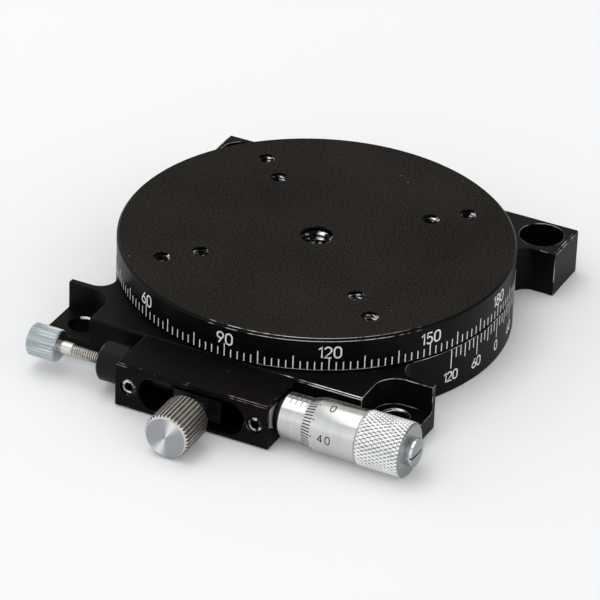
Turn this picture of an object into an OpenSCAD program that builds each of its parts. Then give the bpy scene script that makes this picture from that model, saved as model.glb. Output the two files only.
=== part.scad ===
// Rotation stage: a dial table on a ball bearing, with a tangent arm for fine
// adjustment. A micrometer head pushes the arm against a spring plunger, and a
// clamp screw locks the arm to the table. Millimetres throughout.
// Origin: centre of the base's underside. +Z up, +X along the micrometer head,
// -Y towards the clamp knob.

/* [Table] */
// Diameter of the rotating table
table_d = 70; // [68:0.5:76]
// Thickness of the table plate
table_t = 6.2; // [5.6:0.1:9]
// Chamfer on the table's upper edge
table_chamfer = 0.4; // [0.2:0.05:0.8]
// Running gap between table and base
seam = 0.3; // [0.2:0.05:0.5]
// Core diameter of the M6 thread in the table's centre
centre_core_d = 5; // [4:0.1:5.6]
// Core diameter of the M3 mounting threads
mount_core_d = 2.5; // [2:0.1:3]
// Depth of the M3 mounting holes
mount_depth = 5.2; // [4:0.1:5.4]
// Side of the inner square of mounting holes
inner_square = 30; // [28:0.5:32]
// Side of the outer square of mounting holes
outer_square = 40; // [38:0.5:42]
// Countersink left around each mounting hole
mount_sink = 0.4; // [0.2:0.05:0.6]

/* [Base] */
// Height of the base
base_h = 8.5; // [8.3:0.1:9.5]
// How far the base's square reaches past the table on each side
base_margin = 0; // [0:0.5:3]
// Length of the ears along each side of the base
ear_len = 10.2; // [9.6:0.1:11.5]
// Radius of the hollow between ear and drum wall
ear_hollow_r = 3; // [1.5:0.1:4]
// Distance of each screw hole from the base's two nearest sides
hole_inset = 5; // [4.8:0.1:5.5]
// Diameter of the base's four screw holes
hole_d = 4.5; // [3.4:0.1:5]
// Diameter of the seat for each screw head
seat_d = 8; // [7:0.1:8.6]
// Height of the screw seats above the underside
seat_z = 3.5; // [2.5:0.1:4.5]
// Thickness of the floor under the clamp drum
floor_t = 1.8; // [1.2:0.1:2]
// Thickness of the wall around the arm's groove is what this gap leaves
groove_gap = 0.6; // [0.4:0.05:0.9]
// Chamfer on the base's sharp edges
base_chamfer = 0.3; // [0.15:0.05:0.4]

/* [Bearing] */
// Diameter of the balls
ball_d = 3; // [2.6:0.1:3.2]
// Number of balls
ball_count = 20; // [12:1:21]
// Height of the bearing rings
ring_h = 4.2; // [3.8:0.1:4.5]
// Bore of the inner bearing ring
inner_bore = 20; // [19:0.1:20.4]
// Radial section of the bearing, from bore to rim
bearing_section = 8; // [7.6:0.1:8.6]
// Gap between ball and groove
ball_play = 0.05; // [0.02:0.01:0.08]
// Thickness of the ring that clamps the outer bearing ring
race_cover_t = 1.2; // [1:0.05:1.4]
// Radial width of the wall around the bearing seat
seat_wall = 3.5; // [3.2:0.1:3.7]
// Thickness of the plate under the inner bearing ring
hub_plate_t = 1.6; // [1.3:0.1:2]

/* [Clamp drum and arm] */
// Gap between bearing seat and clamp drum
drum_gap = 0.9; // [0.6:0.1:1.1]
// Wall of the clamp drum
drum_wall = 2.5; // [2:0.1:2.6]
// Thickness of the drum's flange
drum_flange_t = 1.8; // [1.5:0.1:2]
// Running gap between drum and tangent ring
drum_play = 0.1; // [0.05:0.01:0.1]
// Radial width of the tangent ring
arm_ring_w = 4; // [3.6:0.1:4.4]
// Half the width of the arm
arm_half_w = 4.5; // [3.8:0.1:4.6]
// Gap under the tangent ring
arm_lift = 0.2; // [0.1:0.05:0.3]
// Diameter of the clamp screw
clamp_d = 3; // [2.5:0.1:3.2]
// Wall of the arm above and below the brass clamp shoe
shoe_wall = 0.5; // [0.4:0.05:0.7]
// Length of the clamp shoe
shoe_len = 4.4; // [3:0.1:5]
// Diameter of the clamp knob
clamp_knob_d = 8.2; // [7:0.1:8.3]
// Length of the clamp knob
clamp_knob_len = 8; // [6:0.1:10]
// Gap between block and clamp knob
clamp_knob_gap = 2.7; // [1.5:0.1:4]
// Grooves around the clamp knob
clamp_knob_grooves = 36; // [24:1:44]

/* [Adjuster block] */
// Width of the block
block_w = 29; // [28:0.1:31]
// Depth of the block in front of the base
block_d = 10.3; // [9.6:0.1:11.5]
// Offset of the block's middle from the stage's middle
block_x = -0.8; // [-1.2:0.1:0]
// Length of the slot that the arm moves in
slot_w = 20; // [19.8:0.1:20.6]
// Height of the slot
slot_h = 6.4; // [6:0.1:6.8]
// Distance of the adjuster's axis in front of the base
axis_reach = 5.4; // [5:0.1:5.8]
// Height of the adjuster's axis
axis_z = 5; // [4.9:0.05:5.1]
// Diameter of the bores for stem and spring housing
stem_d = 5.6; // [5.2:0.1:5.8]
// Distance of the set screws from the block's middle
set_screw_x = 12; // [11.8:0.1:12.4]
// Height of the set screws
set_screw_z = 4.3; // [4:0.1:4.8]
// Diameter of the set screws
set_screw_d = 3; // [2.5:0.1:3]
// Across-flats size of the set screws' sockets
socket_af = 1.5; // [1.3:0.1:1.6]
// Height of the feet that hold the block under the base
foot_h = 2.6; // [2:0.1:3]
// Length of the feet
foot_len = 5; // [4.6:0.1:5.4]
// Width of the feet
foot_w = 4; // [3.8:0.1:4.2]

/* [Micrometer head] */
// Gap between block and the sleeve's shoulder
sleeve_gap = 1; // [0.6:0.1:1.4]
// Diameter of the sleeve
sleeve_d = 7.9; // [7.4:0.1:8]
// Length of sleeve in view at rest
sleeve_shown = 4.7; // [4.2:0.1:6]
// Diameter of the spindle
spindle_d = 3.2; // [2.8:0.1:3.4]
// Diameter of the thimble's barrel
thimble_d = 9.3; // [9:0.1:9.5]
// Diameter of the thimble's grip
grip_d = 9.7; // [9.5:0.1:9.8]
// Length of the graduated bevel
bevel_len = 1.8; // [1.4:0.1:2.4]
// Length of the smooth barrel
barrel_len = 8.2; // [7:0.1:10]
// Length of the grip
grip_len = 8.4; // [7:0.1:10]
// Diameter of the end cap
cap_d = 4.9; // [4:0.1:6]
// Length of the end cap
cap_len = 1.45; // [1.2:0.05:2.4]
// Travel of the spindle to each side of its rest place
half_travel = 3.25; // [2.5:0.05:3.4]
// Running gap around spindle, plunger and screws
run_gap = 0.05; // [0.03:0.01:0.08]

/* [Spring plunger and lock screw] */
// Diameter of the spring housing
housing_d = 7; // [6.4:0.1:7.4]
// Length of the housing outside the block
housing_len = 4.8; // [4.4:0.1:6]
// Thickness of the housing's end wall
housing_end = 1.1; // [0.9:0.1:1.4]
// Diameter of the plunger
plunger_d = 4.4; // [4.3:0.1:4.6]
// Wall of the plunger
plunger_wall = 0.35; // [0.25:0.05:0.4]
// Diameter of the spring's wire
wire_d = 0.35; // [0.3:0.05:0.4]
// Turns of the spring
spring_turns = 11; // [7:1:12]
// Diameter of the lock screw
lock_d = 2.4; // [2:0.1:2.4]
// Length of lock screw in view at rest
lock_shown = 8.5; // [6:0.1:10]
// Diameter of the lock knob
lock_knob_d = 5.8; // [5:0.1:6.4]
// Length of the lock knob
lock_knob_len = 5.5; // [4.5:0.1:7]
// Grooves around the lock knob
lock_knob_grooves = 28; // [20:1:36]
// Free way of the lock screw's tip before it meets the plunger
lock_way = 8; // [7.8:0.1:8.6]

/* [Hidden] */
$fn = 64;
eps = 0.01;

// Base and table
base_w = table_d + 2 * base_margin;
front_y = -base_w / 2;
table_z = base_h + seam;
top_z = table_z + table_t;
hole_pitch = base_w - 2 * hole_inset;

// Bearing
cover_gap = 0.4;
ring_z1 = table_z - cover_gap - race_cover_t;
ring_z0 = ring_z1 - ring_h;
ball_z = (ring_z0 + ring_z1) / 2;
ball_r = ball_d / 2;
ball_circle = inner_bore + bearing_section;
outer_rim = inner_bore + 2 * bearing_section;
race_gap = 0.35;
race_shoulder = ball_r - race_gap;
inner_rim_r = ball_circle / 2 - race_shoulder;
outer_bore_r = ball_circle / 2 + race_shoulder;
cage_wall = 1.1;
cage_play = 0.1;
cage_web = 0.3;
seat_rim_r = outer_rim / 2 + seat_wall;
cover_hold = 1.7;
cover_bore_r = outer_rim / 2 - cover_hold;
seat_shelf = 2;
race_floor_r = outer_rim / 2 - seat_shelf;
race_floor_drop = 0.6;
race_floor_z = ring_z0 - race_floor_drop;
cover_screw_r = outer_rim / 2 + seat_wall / 2;
cover_bite = 3;

// Hub
hub_step = 2;
hub_shoulder_r = inner_bore / 2 + hub_step;
hub_room = 1.5;
centre_open_r = hub_shoulder_r + hub_room;
hub_relief = 1.6;
hub_bore_d = centre_core_d + hub_relief;
hub_screw_circle_r = (inner_bore + hub_bore_d) / 4 + 0.1;
hub_bite = 3.6;

// Clamp drum and tangent arm
drum_bore_r = seat_rim_r + drum_gap;
drum_r = drum_bore_r + drum_wall;
arm_ring_r0 = drum_r + drum_play;
arm_ring_r1 = arm_ring_r0 + arm_ring_w;
groove_r = arm_ring_r1 + groove_gap;
flange_room = 1;
drum_flange_r = groove_r - flange_room;
drum_flange_z = table_z - drum_flange_t;
drum_screw_circle_r = (drum_r + drum_flange_r) / 2;
drum_bite = 2.8;
drum_screw_turn = 30;
arm_room = 0.6;
arm_z0 = floor_t + arm_lift;
arm_z1 = drum_flange_z - arm_room;
arm_mid_z = (arm_z0 + arm_z1) / 2;
shoe_d = arm_z1 - arm_z0 - 2 * shoe_wall;
knob_bite = 2.5;
clamp_release = 1.1;

// Adjuster
arm_tip_inset = 0.7;
block_y = front_y - block_d;
block_x0 = block_x - block_w / 2;
block_x1 = block_x + block_w / 2;
axis_y = front_y - axis_reach;
arm_tip_y = block_y + arm_tip_inset;
stem_inset = 0.3;
slot_x0 = block_x - slot_w / 2;
slot_x1 = block_x + slot_w / 2;
contact_gap = 0.05;
set_screw_inset = 0.15;
set_screw_len = axis_y - stem_d / 2 - block_y - set_screw_inset;
foot_inset = 0.2;
foot_bite = 3.4;

// Micrometer
anvil_d = 2.4;
anvil_out = 0.3;
anvil_seat = 2.4;
spindle_x0 = arm_half_w + anvil_out + contact_gap;
sleeve_x0 = block_x1 + sleeve_gap;
thimble_x0 = sleeve_x0 + sleeve_shown;
barrel_x0 = thimble_x0 + bevel_len;
grip_x0 = barrel_x0 + barrel_len;
grip_x1 = grip_x0 + grip_len;
end_wall = 3.4;
thimble_bore_d = sleeve_d + 2 * run_gap;
sleeve_neck_d = 6.2;
sleeve_x1 = grip_x1 - end_wall - half_travel - 0.8;
nut_len = 2.4;
neck_len = 5;
cap_dome = 0.25;
cap_slot_w = 0.4;
cap_slot_depth = 0.6;

// Plunger and lock screw
plunger_x0 = -(arm_half_w + contact_gap);
housing_x1 = block_x0 - housing_len;
housing_bore_d = plunger_d + 2 * run_gap;
housing_bore_x = housing_x1 + housing_end;
plunger_x1 = housing_bore_x + half_travel + 0.5;
plunger_bore_d = plunger_d - 2 * plunger_wall;
plunger_floor_x = plunger_x0 - plunger_d / 2 - 0.2;
lock_tip_x = plunger_floor_x - lock_way;
lock_knob_x1 = housing_x1 - lock_shown;

// Countersunk screws: shank, head, socket, and the thread left below each tip
small_d = 1.6;
small_head_d = 3.4;
small_af = 0.9;
small_socket = 0.8;
foot_screw_d = 2.2;
foot_head_d = 3.8;
foot_af = 1.3;
foot_socket = 0.9;
tap_room = 0.4;
head_play = 0.03;

// ---- Shared shapes ----------------------------------------------------------

// A cylinder along X from x0 to x1
module rod_x(d, x0, x1) {
    translate([x0, 0, 0]) rotate([0, 90, 0]) cylinder(d = d, h = x1 - x0);
}

// A cylinder along Y from y0 to y1, y1 the greater
module rod_y(d, y0, y1) {
    translate([0, y1, 0]) rotate([90, 0, 0]) cylinder(d = d, h = y1 - y0);
}

// A profile of [x, radius] points turned about the X axis
module turned_x(profile) {
    rotate([90, 0, 90]) rotate_extrude()
        polygon([for (p = profile) [p[1], p[0]]]);
}

// A ring of rectangular section
module ring(r0, r1, z0, z1) {
    translate([0, 0, z0]) difference() {
        cylinder(r = r1, h = z1 - z0);
        translate([0, 0, -1]) cylinder(r = r0, h = z1 - z0 + 2);
    }
}

// Countersunk screw with its head's face at z = 0 and its shank along +Z
module sunk_screw(d, head_d, len) {
    head_h = (head_d - d) / 2;
    rotate_extrude()
        polygon([[0, 0], [head_d / 2, 0], [d / 2, head_h], [d / 2, len], [0, len]]);
}

// The hole for one, open above the face, with a little room around the head
module sunk_hole(d, head_d, len) {
    r = head_d / 2 + head_play;
    rotate_extrude()
        polygon([[0, -1], [r, -1], [r, 0], [d / 2, r - d / 2], [d / 2, len], [0, len]]);
}

// The screw's cross recess, left as a blind hexagon socket
module socket(af, depth) {
    cylinder(d = af / cos(30), h = depth, $fn = 6);
}

module hex_screw(d, head_d, len, af, depth) {
    difference() {
        sunk_screw(d, head_d, len);
        translate([0, 0, -eps]) socket(af, depth);
    }
}

module around(count, r, start = 0) {
    for (i = [0 : count - 1])
        rotate(start + i * 360 / count) translate([r, 0, 0]) children();
}

// Moves its children to each corner of a square
module corners(side) {
    for (x = [-1, 1], y = [-1, 1])
        translate([x * side / 2, y * side / 2, 0]) children();
}

// Places its children on the adjuster's axis
module on_axis() {
    translate([0, axis_y, axis_z]) children();
}

// A slot with round ends, cut along Y
module slot_y(w, h, y0, y1) {
    translate([0, y1, 0]) rotate([90, 0, 0]) linear_extrude(y1 - y0) {
        square([w - h, h], center = true);
        for (s = [-1, 1]) translate([s * (w - h) / 2, 0]) circle(d = h);
    }
}

// A 45 degree bar that breaks a straight edge between two points
module edge_bar(a, b, c) {
    d = b - a;
    translate([a[0], a[1], a[2]]) rotate(atan2(d[1], d[0]))
        rotate([45, 0, 0]) translate([-1, -c / sqrt(2), -c / sqrt(2)])
            cube([norm(d) + 2, c * sqrt(2), c * sqrt(2)]);
}

// A knob with straight grooves, along +Z, with both ends chamfered
module grooved_knob(d, len, grooves, depth, chamfer) {
    r = d / 2;
    intersection() {
        linear_extrude(len)
            polygon([for (i = [0 : grooves - 1], s = [0 : 3])
                let (a = (i + [0, 0.3, 0.5, 0.8][s]) * 360 / grooves,
                     q = s < 2 ? r : r - depth)
                [q * cos(a), q * sin(a)]]);
        rotate_extrude()
            polygon([[0, 0], [r - chamfer, 0], [r, chamfer], [r, len - chamfer],
                     [r - chamfer, len], [0, len]]);
    }
}

// ---- Base and bearing -------------------------------------------------------

// The hollow that blends an ear's back edge into the round wall
module ear_hollow() {
    edge = base_w / 2 - ear_len;
    r = table_d / 2;
    cy = edge - ear_hollow_r;
    cx = sqrt(pow(r + ear_hollow_r, 2) - pow(cy, 2));
    difference() {
        polygon([[r / 2, edge + 1], [cx, edge + 1], [cx, cy],
                 [cx * r / (r + ear_hollow_r), cy * r / (r + ear_hollow_r)], [r / 2, cy]]);
        translate([cx, cy]) circle(r = ear_hollow_r);
    }
}

// The base before its inside and screw seats are cut
module base_block() {
    cylinder(d = table_d, h = base_h, $fn = 180);
    for (y = [front_y, -front_y - ear_len])
        translate([-base_w / 2, y, 0]) cube([base_w, ear_len, base_h]);
    for (x = [0, 1], y = [0, 1])
        mirror([x, 0, 0]) mirror([0, y, 0]) linear_extrude(base_h) ear_hollow();
}

// A front screw seat, open to the corner of the base
module open_seat() {
    r = seat_d / 2;
    out = hole_inset + 1;
    translate([0, 0, seat_z]) linear_extrude(base_h) {
        circle(r = r);
        translate([-r, -out]) square([2 * r, out]);
        translate([0, -r]) square([out, 2 * r]);
        translate([0, -out]) square([out, out]);
    }
}

module base_inside() {
    rotate_extrude($fn = 180)
        polygon([[0, -1], [centre_open_r, -1], [centre_open_r, race_floor_z],
                 [race_floor_r, race_floor_z], [race_floor_r, ring_z0],
                 [outer_rim / 2, ring_z0], [outer_rim / 2, ring_z1], [seat_rim_r, ring_z1],
                 [seat_rim_r, floor_t], [groove_r, floor_t], [groove_r, base_h + 1],
                 [0, base_h + 1]]);
}

module base_body() {
    color([0.09, 0.085, 0.08]) difference() {
        base_block();
        base_inside();
        // Screw holes, with round seats at the back and open ones in front
        corners(hole_pitch) translate([0, 0, -1]) cylinder(d = hole_d, h = base_h + 2);
        for (x = [-1, 1]) {
            translate([x * hole_pitch / 2, hole_pitch / 2, seat_z])
                cylinder(d = seat_d, h = base_h);
            translate([x * hole_pitch / 2, -hole_pitch / 2, 0])
                mirror([x < 0 ? 1 : 0, 0, 0]) open_seat();
        }
        // Way through the wall for the arm
        translate([block_x, 0, arm_mid_z])
            slot_y(slot_w, slot_h, front_y - 1, -arm_ring_r0);
        // Pockets for the block's feet, and their screws' threads
        for (s = [-1, 1]) translate([foot_x(s), 0, 0]) {
            translate([-foot_w / 2 - run_gap, front_y - 1, -1])
                cube([foot_w + 2 * run_gap, foot_len + run_gap + 1, foot_h + run_gap + 1]);
            translate([0, front_y + foot_len / 2, 0])
                cylinder(d = foot_screw_d, h = foot_h + foot_bite + tap_room);
        }
        around(6, cover_screw_r) translate([0, 0, ring_z1 - cover_bite - tap_room])
            cylinder(d = small_d, h = cover_bite + 1);
        // Broken edges
        edge_bar([-hole_pitch / 2 + seat_d / 2, front_y, base_h],
                 [hole_pitch / 2 - seat_d / 2, front_y, base_h], base_chamfer);
        edge_bar([-base_w / 2, -front_y, base_h], [base_w / 2, -front_y, base_h], base_chamfer);
        for (x = [-1, 1])
            edge_bar([x * base_w / 2, -front_y - ear_len, base_h],
                     [x * base_w / 2, -front_y, base_h], base_chamfer);
    }
}

function foot_x(s) = block_x + s * (block_w / 2 - foot_w / 2 - foot_inset);

module bearing_outer_ring() {
    color("silver") rotate_extrude($fn = 120) difference() {
        translate([outer_bore_r, ring_z0])
            square([outer_rim / 2 - outer_bore_r, ring_h]);
        translate([ball_circle / 2, ball_z]) circle(r = ball_r + ball_play);
    }
}

module bearing_inner_ring() {
    color("silver") rotate_extrude($fn = 120) difference() {
        translate([inner_bore / 2, ring_z0])
            square([inner_rim_r - inner_bore / 2, ring_h]);
        translate([ball_circle / 2, ball_z]) circle(r = ball_r + ball_play);
    }
}

module bearing_cover() {
    color("dimgray") difference() {
        ring(cover_bore_r, seat_rim_r, ring_z1, ring_z1 + race_cover_t);
        around(6, cover_screw_r) translate([0, 0, ring_z1 + race_cover_t])
            mirror([0, 0, 1]) sunk_hole(small_d, small_head_d, race_cover_t + 1);
    }
}

module bearing_cover_screws() {
    color("silver") around(6, cover_screw_r)
        translate([0, 0, ring_z1 + race_cover_t]) mirror([0, 0, 1])
            hex_screw(small_d, small_head_d, race_cover_t + cover_bite, small_af, small_socket);
}

module bearing_balls() {
    color("gainsboro") around(ball_count, ball_circle / 2)
        translate([0, 0, ball_z]) sphere(r = ball_r, $fn = 48);
}

module ball_cage() {
    half_h = ball_r + cage_play + cage_web;
    color("goldenrod") difference() {
        ring(ball_circle / 2 - cage_wall / 2, ball_circle / 2 + cage_wall / 2,
             ball_z - half_h, ball_z + half_h);
        around(ball_count, ball_circle / 2) translate([-cage_wall, 0, ball_z])
            rotate([0, 90, 0]) cylinder(r = ball_r + cage_play, h = 2 * cage_wall, $fn = 32);
    }
}

// ---- Table and what turns with it -------------------------------------------

module rotary_table() {
    color([0.15, 0.14, 0.13]) difference() {
        rotate_extrude($fn = 180)
            polygon([[0, ring_z0], [inner_bore / 2, ring_z0], [inner_bore / 2, ring_z1],
                     [hub_shoulder_r, ring_z1], [hub_shoulder_r, table_z],
                     [table_d / 2 - table_chamfer / 2, table_z],
                     [table_d / 2, table_z + table_chamfer / 2],
                     [table_d / 2, top_z - table_chamfer],
                     [table_d / 2 - table_chamfer, top_z], [0, top_z]]);
        translate([0, 0, ring_z0 - 1]) cylinder(d = centre_core_d, h = top_z);
        translate([0, 0, ring_z0 - 1]) cylinder(d = hub_bore_d, h = table_z - ring_z0 + 1);
        sink_cone(centre_core_d / 2, 0.6);
        for (side = [inner_square, outer_square]) corners(side) {
            translate([0, 0, top_z - mount_depth])
                cylinder(d = mount_core_d, h = mount_depth + 1);
            sink_cone(mount_core_d / 2, mount_sink);
        }
        around(4, hub_screw_circle_r, 45) translate([0, 0, ring_z0 - 1])
            cylinder(d = small_d, h = hub_bite + tap_room + 1);
        around(6, drum_screw_circle_r, drum_screw_turn) translate([0, 0, table_z - 1])
            cylinder(d = small_d, h = drum_bite + tap_room + 1);
    }
}

// A countersink at the table's face
module sink_cone(r, depth) {
    translate([0, 0, top_z - depth]) rotate_extrude()
        polygon([[0, 0], [r, 0], [r + depth + 1, depth + 1], [0, depth + 1]]);
}

module hub_plate() {
    color("dimgray") difference() {
        ring(hub_bore_d / 2, hub_shoulder_r, ring_z0 - hub_plate_t, ring_z0);
        around(4, hub_screw_circle_r, 45) translate([0, 0, ring_z0 - hub_plate_t])
            sunk_hole(small_d, small_head_d, hub_plate_t + 1);
    }
}

module hub_screws() {
    color("silver") around(4, hub_screw_circle_r, 45)
        translate([0, 0, ring_z0 - hub_plate_t])
            hex_screw(small_d, small_head_d, hub_plate_t + hub_bite, small_af, small_socket);
}

module clamp_drum() {
    color("slategray") difference() {
        rotate_extrude($fn = 120)
            polygon([[drum_bore_r, arm_z0], [drum_r, arm_z0], [drum_r, drum_flange_z],
                     [drum_flange_r, drum_flange_z], [drum_flange_r, table_z],
                     [drum_bore_r, table_z]]);
        around(6, drum_screw_circle_r, drum_screw_turn) translate([0, 0, drum_flange_z])
            sunk_hole(small_d, small_head_d, drum_flange_t + 1);
    }
}

module drum_screws() {
    color("silver") around(6, drum_screw_circle_r, drum_screw_turn)
        translate([0, 0, drum_flange_z])
            hex_screw(small_d, small_head_d, drum_flange_t + drum_bite, small_af, small_socket);
}

// ---- Tangent arm and clamp --------------------------------------------------

module tangent_arm() {
    shoe_y0 = -(arm_ring_r0 + shoe_len);
    color("darkslategray") difference() {
        union() {
            ring(arm_ring_r0, arm_ring_r1, arm_z0, arm_z1);
            translate([-arm_half_w, arm_tip_y, arm_z0])
                cube([2 * arm_half_w, -arm_ring_r0 - 1 - arm_tip_y, arm_z1 - arm_z0]);
        }
        cylinder(r = arm_ring_r0, h = table_z);
        translate([0, 0, arm_mid_z]) {
            rod_y(clamp_d + 2 * run_gap, arm_tip_y - 1, -drum_r);
            rod_y(shoe_d + 2 * run_gap, shoe_y0 - clamp_release, -drum_r + 2);
        }
        on_axis() rod_x(anvil_d, arm_half_w - anvil_seat, arm_half_w + 1);
    }
}

module anvil_pin() {
    color("lightgray") on_axis()
        rod_x(anvil_d, arm_half_w - anvil_seat, arm_half_w + anvil_out);
}

module clamp_shoe() {
    color("goldenrod") difference() {
        translate([0, 0, arm_mid_z])
            rod_y(shoe_d, -(arm_ring_r0 + shoe_len), -drum_r + 0.6);
        cylinder(r = drum_r + contact_gap, h = table_z);
    }
}

module clamp_screw() {
    shoe_end_y = -(arm_ring_r0 + shoe_len);
    knob_y = block_y - clamp_knob_gap;
    color("silver") translate([0, 0, arm_mid_z])
        rod_y(clamp_d, knob_y - knob_bite, shoe_end_y);
}

module clamp_knob() {
    knob_y = block_y - clamp_knob_gap;
    color("silver") translate([0, knob_y, arm_mid_z]) rotate([90, 0, 0]) difference() {
        grooved_knob(clamp_knob_d, clamp_knob_len, clamp_knob_grooves, 0.28, 0.5);
        translate([0, 0, -1])
            cylinder(d = clamp_d + 2 * run_gap, h = 1 + knob_bite + run_gap);
    }
}

// ---- Adjuster block ---------------------------------------------------------

module adjuster_block() {
    color([0.12, 0.11, 0.1]) difference() {
        union() {
            translate([block_x0, block_y, 0]) cube([block_w, block_d, base_h]);
            for (s = [-1, 1]) translate([foot_x(s) - foot_w / 2, front_y - 1, 0])
                cube([foot_w, foot_len + 1, foot_h]);
        }
        translate([block_x, 0, arm_mid_z])
            slot_y(slot_w, slot_h, block_y - 1, front_y + 1);
        on_axis() rod_x(stem_d, block_x0 - 1, block_x1 + 1);
        for (s = [-1, 1]) {
            translate([block_x + s * set_screw_x, 0, set_screw_z])
                rod_y(set_screw_d, block_y - 1, axis_y);
            translate([foot_x(s), front_y + foot_len / 2, 0])
                sunk_hole(foot_screw_d, foot_head_d, foot_h + 1);
        }
        edge_bar([block_x0, block_y, base_h], [block_x1, block_y, base_h], base_chamfer);
        edge_bar([block_x0, block_y, 0], [block_x1, block_y, 0], base_chamfer);
        for (x = [block_x0, block_x1])
            edge_bar([x, block_y, base_h], [x, front_y, base_h], base_chamfer);
    }
}

module block_screws() {
    color("silver") for (s = [-1, 1])
        translate([foot_x(s), front_y + foot_len / 2, 0])
            hex_screw(foot_screw_d, foot_head_d, foot_h + foot_bite, foot_af, foot_socket);
}

module set_screws() {
    r = set_screw_d / 2;
    lead = r / 6;
    color("lightgray") for (s = [-1, 1])
        translate([block_x + s * set_screw_x, block_y + set_screw_inset, set_screw_z])
            rotate([-90, 0, 0]) difference() {
                rotate_extrude()
                    polygon([[0, 0], [r - lead, 0], [r, lead], [r, set_screw_len],
                             [0, set_screw_len]]);
                translate([0, 0, -eps]) socket(socket_af, set_screw_len * 0.6);
            }
}

// ---- Micrometer head --------------------------------------------------------

module micrometer_sleeve() {
    stem_x0 = slot_x1 + stem_inset;
    color("gainsboro") on_axis() difference() {
        turned_x([[stem_x0, 0], [stem_x0, stem_d / 2], [sleeve_x0, stem_d / 2],
                  [sleeve_x0, sleeve_d / 2 - 0.3], [sleeve_x0 + 0.3, sleeve_d / 2],
                  [sleeve_x1 - neck_len, sleeve_d / 2],
                  [sleeve_x1 - neck_len, sleeve_neck_d / 2],
                  [sleeve_x1, sleeve_neck_d / 2], [sleeve_x1, 0]]);
        rod_x(spindle_d + 2 * run_gap, stem_x0 - 1, sleeve_x1 + 1);
    }
}

module sleeve_nut() {
    nut_x0 = sleeve_x1 - neck_len / 2 - nut_len / 2;
    color("gray") on_axis() difference() {
        rod_x(sleeve_d - 0.2, nut_x0, nut_x0 + nut_len);
        rod_x(sleeve_neck_d, nut_x0 - 1, nut_x0 + nut_len + 1);
    }
}

module micrometer_spindle() {
    r = spindle_d / 2;
    end_x = grip_x1 - 1.2;
    color("silver") on_axis() {
        rod_x(spindle_d, spindle_x0 + r, end_x);
        translate([spindle_x0 + r, 0, 0]) sphere(r = r, $fn = 48);
    }
}

module micrometer_thimble() {
    inner_x = grip_x1 - end_wall;
    lip = 0.35;
    color("gainsboro") on_axis() difference() {
        turned_x([[thimble_x0, 0], [thimble_x0, thimble_bore_d / 2 + 0.1],
                  [barrel_x0, thimble_d / 2], [grip_x0 - 0.15, thimble_d / 2],
                  [grip_x0, thimble_d / 2 - 0.15], [grip_x0 + 0.2, grip_d / 2],
                  [grip_x1 - lip, grip_d / 2], [grip_x1, grip_d / 2 - lip], [grip_x1, 0]]);
        rod_x(thimble_bore_d, thimble_x0 - 1, inner_x);
        rod_x(spindle_d + 2 * run_gap, inner_x - 1, grip_x1 + 1);
    }
}

module thimble_cap() {
    x0 = grip_x1 + cap_len - cap_dome;
    r = cap_d / 2;
    color("silver") on_axis() difference() {
        turned_x([[grip_x1 - 1, 0], [grip_x1 - 1, spindle_d / 2], [grip_x1, spindle_d / 2],
                  [grip_x1, r],
                  for (a = [0 : 15 : 90]) [x0 + cap_dome * sin(a), r * cos(a)]]);
        translate([x0 + cap_dome - cap_slot_depth, -r - 1, -cap_slot_w / 2])
            cube([cap_slot_depth + 1, cap_d + 2, cap_slot_w]);
    }
}

// ---- Spring plunger and lock screw ------------------------------------------

module spring_housing() {
    stem_x1 = slot_x0 - stem_inset;
    color([0.1, 0.1, 0.1]) on_axis() difference() {
        turned_x([[housing_x1, 0], [housing_x1, housing_d / 2 - 0.4],
                  [housing_x1 + 0.4, housing_d / 2], [block_x0, housing_d / 2],
                  [block_x0, stem_d / 2], [stem_x1, stem_d / 2], [stem_x1, 0]]);
        rod_x(housing_bore_d, housing_bore_x, 0);
        rod_x(lock_d + 2 * run_gap, housing_x1 - 1, 0);
    }
}

module spring_plunger() {
    r = plunger_d / 2;
    nose_x = plunger_x0 - r;
    color("silver") on_axis() difference() {
        union() {
            rod_x(plunger_d, plunger_x1, nose_x);
            translate([nose_x, 0, 0]) sphere(r = r, $fn = 48);
        }
        rod_x(plunger_bore_d, plunger_x1 - 1, plunger_floor_x);
    }
}

// A point on the spring's centre line, t from 0 to 1
function spring_point(t) =
    let (r = (plunger_bore_d - wire_d) / 2 - run_gap,
         x0 = housing_bore_x + wire_d / 2 + run_gap,
         x1 = plunger_floor_x - wire_d / 2 - run_gap,
         a = 360 * spring_turns * t)
    [x0 + (x1 - x0) * t, r * cos(a), r * sin(a)];

module plunger_spring() {
    sides = 6;
    rings = spring_turns * 14;
    color("lightgray") on_axis() polyhedron(
        points = [for (i = [0 : rings], s = [0 : sides - 1])
            let (p = spring_point(i / rings), out = [0, p[1], p[2]] / norm([p[1], p[2]]),
                 b = s * 360 / sides)
            p + wire_d / 2 * (cos(b) * out + [sin(b), 0, 0])],
        faces = concat(
            [[for (s = [0 : sides - 1]) s]],
            [for (i = [0 : rings - 1], s = [0 : sides - 1])
                let (n = (s + 1) % sides)
                [i * sides + s, (i + 1) * sides + s, (i + 1) * sides + n, i * sides + n]],
            [[for (s = [sides - 1 : -1 : 0]) rings * sides + s]]));
}

module lock_screw() {
    color("silver") on_axis() rod_x(lock_d, lock_knob_x1 - knob_bite, lock_tip_x);
}

module lock_knob() {
    color("silver") on_axis() difference() {
        translate([lock_knob_x1, 0, 0]) rotate([0, -90, 0])
            grooved_knob(lock_knob_d, lock_knob_len, lock_knob_grooves, 0.2, 0.4);
        rod_x(lock_d + 2 * run_gap, lock_knob_x1 - knob_bite - run_gap, lock_knob_x1 + 1);
    }
}

// ---- Assembly ---------------------------------------------------------------

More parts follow.
